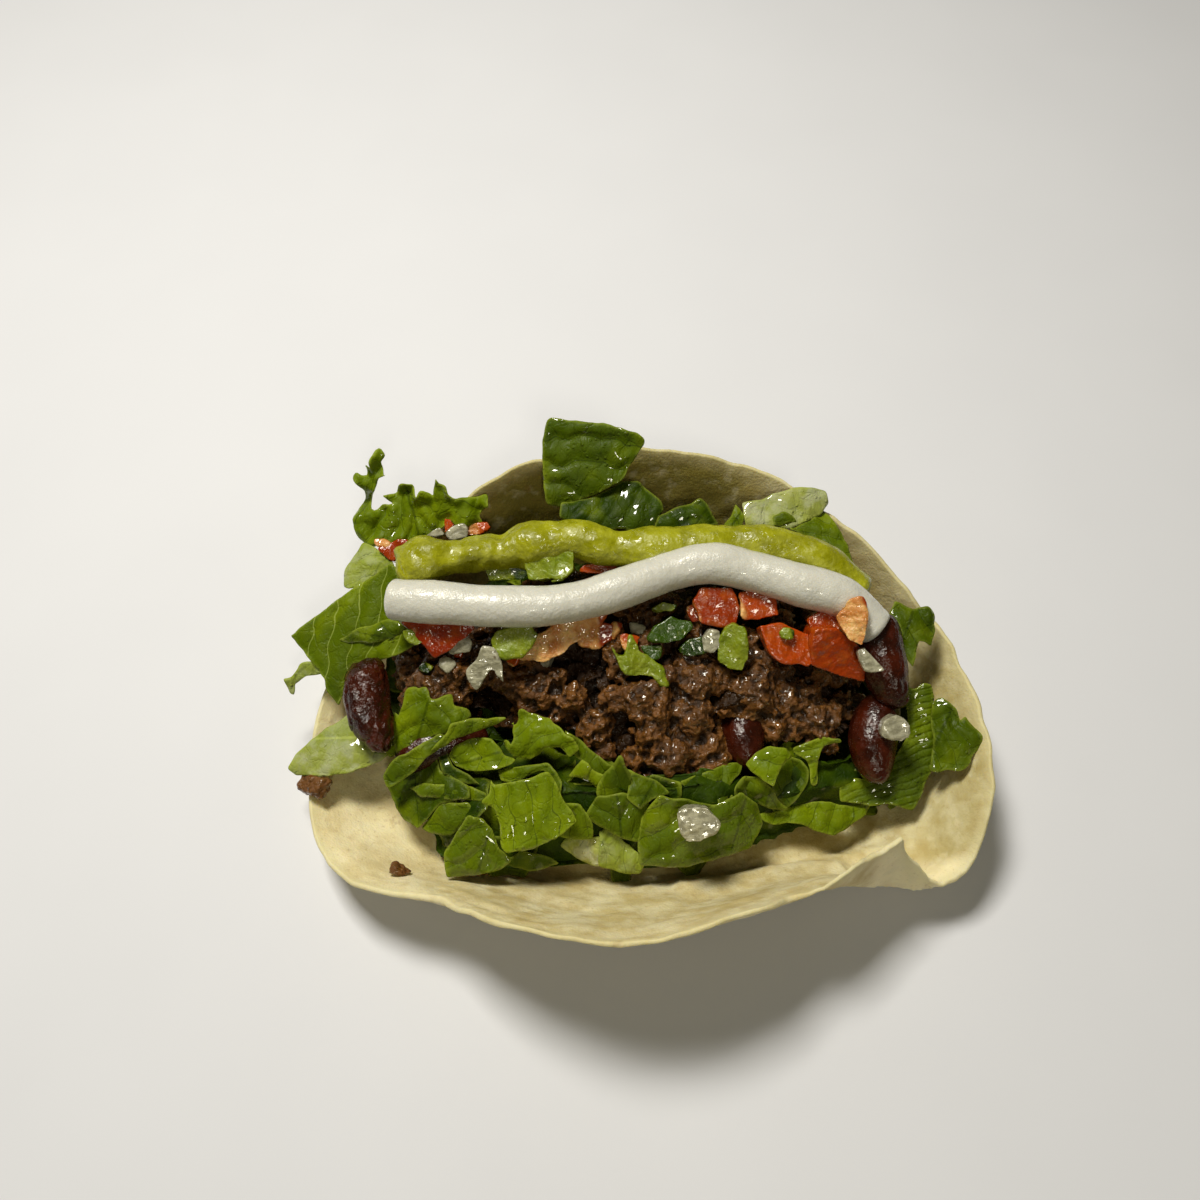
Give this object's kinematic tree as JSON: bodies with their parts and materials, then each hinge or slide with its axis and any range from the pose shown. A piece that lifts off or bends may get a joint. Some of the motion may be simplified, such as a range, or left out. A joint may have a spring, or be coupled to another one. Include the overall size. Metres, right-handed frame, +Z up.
{
  "type": "taco",
  "caption": "Open soft taco: a flour tortilla cupped around cut lettuce, ground beef, kidney beans and salsa dice, topped with beads of guacamole and sour cream.",
  "frame": {"origin": "middle of the bounding box in plan, at the level of the tortilla's flat underside", "axes": "+X along the row of filling, +Y towards the back flap, +Z up"},
  "size_m": [0.1394, 0.105, 0.0435],
  "materials": {
    "tortilla": "dry, floury, faint toast marks",
    "lettuce": "wet leaf",
    "ground_beef": "browned crumbles with a film of juice",
    "sour_cream": "smooth and moist",
    "guacamole": "moist puree",
    "kidney_bean": "wet skin",
    "tomato": "wet cut flesh and skin",
    "green_pepper": "wet cut flesh and skin",
    "onion": "translucent, wet"
  },
  "bodies": {
    "root": {"crumb_1": "ground_beef", "crumb_2": "ground_beef", "leaf_back": "lettuce", "leaf_back_low": "lettuce", "leaf_frilly": "lettuce", "leaf_left": "lettuce", "leaf_left_pale": "lettuce", "leaf_rib": "lettuce", "leaf_right": "lettuce", "leaf_right_back": "lettuce", "leaf_pale": "lettuce", "leaf_strip": "lettuce", "ground_beef": "ground_beef", "lettuce_bed": "lettuce", "tomato_1": "tomato", "tomato_2": "tomato", "tomato_3": "tomato", "tomato_4": "tomato", "tomato_5": "tomato", "tomato_6": "tomato", "tomato_7": "tomato", "tomato_8": "tomato", "tomato_9": "tomato", "tomato_10": "tomato", "pepper_1": "green_pepper", "pepper_2": "green_pepper", "pepper_3": "green_pepper", "pepper_4": "green_pepper", "pepper_5": "green_pepper", "pepper_6": "green_pepper", "onion_1": "onion", "onion_2": "onion", "onion_3": "onion", "onion_4": "onion", "onion_5": "onion", "onion_6": "onion", "sour_cream": "sour_cream", "guacamole": "guacamole", "bean_1": "kidney_bean", "bean_2": "kidney_bean", "bean_3": "kidney_bean", "bean_4": "kidney_bean", "bean_5": "kidney_bean", "tortilla": "tortilla"}
  },
  "joints": []
}
